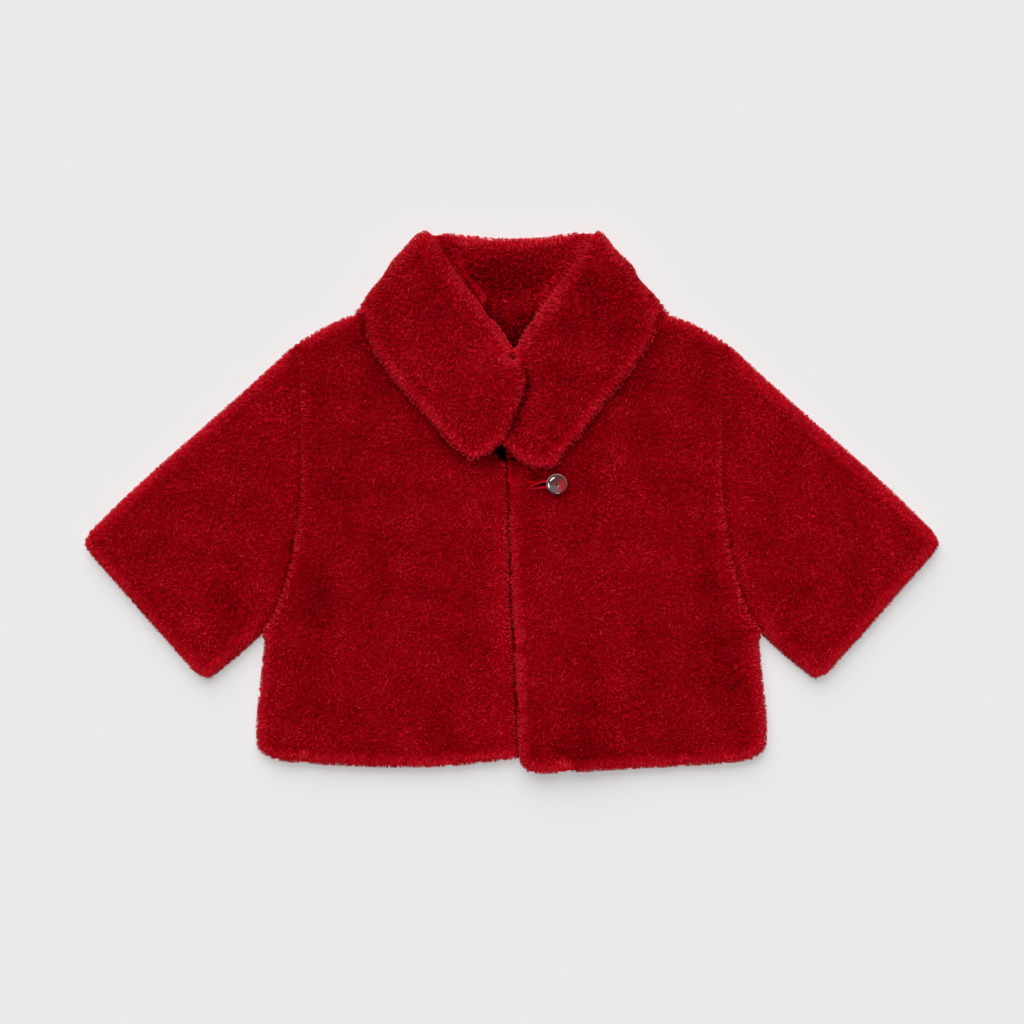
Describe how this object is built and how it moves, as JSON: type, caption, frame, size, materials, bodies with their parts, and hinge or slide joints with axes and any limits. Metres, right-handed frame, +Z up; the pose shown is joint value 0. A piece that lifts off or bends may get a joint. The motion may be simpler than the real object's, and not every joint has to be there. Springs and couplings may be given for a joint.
{
  "type": "shrug",
  "caption": "Cropped plush jacket with a wide turned collar, wide elbow-length sleeves and one button, buttoned and laid flat on its back.",
  "frame": {"origin": "on the floor, under the middle of the laid garment's outline", "axes": "+Z up, +Y from the hem to the collar, +X to the side of the over front, which is the wearer's left"},
  "size_m": [0.8548, 0.5424, 0.0289],
  "materials": {
    "plush": "long soft red pile",
    "welt": "smooth red satin",
    "resin": "polished smoky resin"
  },
  "bodies": {
    "root": {"back": "plush", "front_under": "plush", "front_over": "plush", "sleeve_left": "plush", "sleeve_right": "plush", "collar": "plush", "buttonhole_welt": "welt", "button": "resin"}
  },
  "joints": []
}
